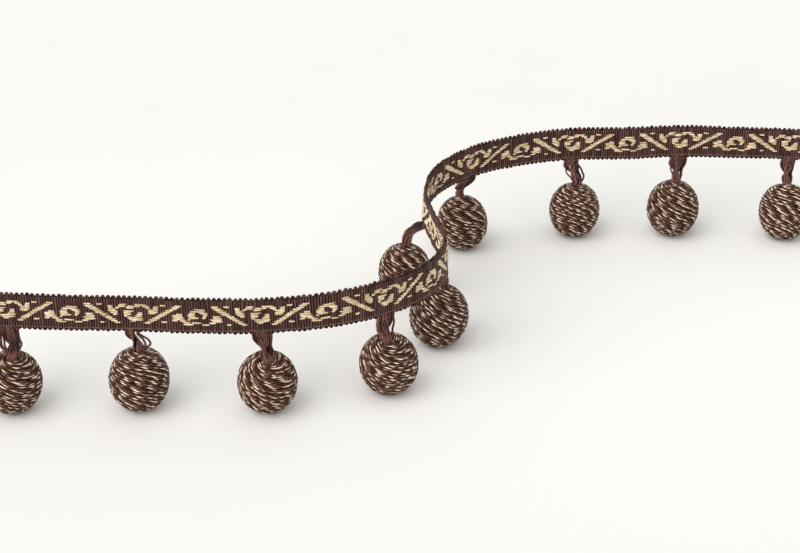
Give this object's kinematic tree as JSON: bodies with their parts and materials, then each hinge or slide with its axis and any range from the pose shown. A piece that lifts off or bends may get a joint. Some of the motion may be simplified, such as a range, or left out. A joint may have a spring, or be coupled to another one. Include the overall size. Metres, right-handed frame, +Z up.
{
  "type": "ball fringe trim",
  "caption": "Woven braid trim standing on edge in an S curve, with wound yarn balls hung along its lower edge by short necks of yarn.",
  "frame": {"origin": "on the table, under the middle of the trim's bounding box", "axes": "+X along the trim's longest reach, +Z up, from the table to the braid's upper edge"},
  "size_m": [0.3253, 0.1536, 0.0447],
  "materials": {
    "braid_cloth": "ribbed rayon braid, dark brown with a tan figure",
    "wound_yarn": "plied yarn, dark brown and cream",
    "neck_yarn": "dark brown rayon yarn"
  },
  "bodies": {
    "root": {"braid": "braid_cloth", "ball_01": "wound_yarn", "ball_02": "wound_yarn", "ball_03": "wound_yarn", "ball_04": "wound_yarn", "ball_05": "wound_yarn", "ball_06": "wound_yarn", "ball_07": "wound_yarn", "ball_08": "wound_yarn", "ball_09": "wound_yarn", "ball_10": "wound_yarn", "neck_01": "neck_yarn", "neck_02": "neck_yarn", "neck_03": "neck_yarn", "neck_04": "neck_yarn", "neck_05": "neck_yarn", "neck_06": "neck_yarn", "neck_07": "neck_yarn", "neck_08": "neck_yarn", "neck_09": "neck_yarn", "neck_10": "neck_yarn"}
  },
  "joints": []
}
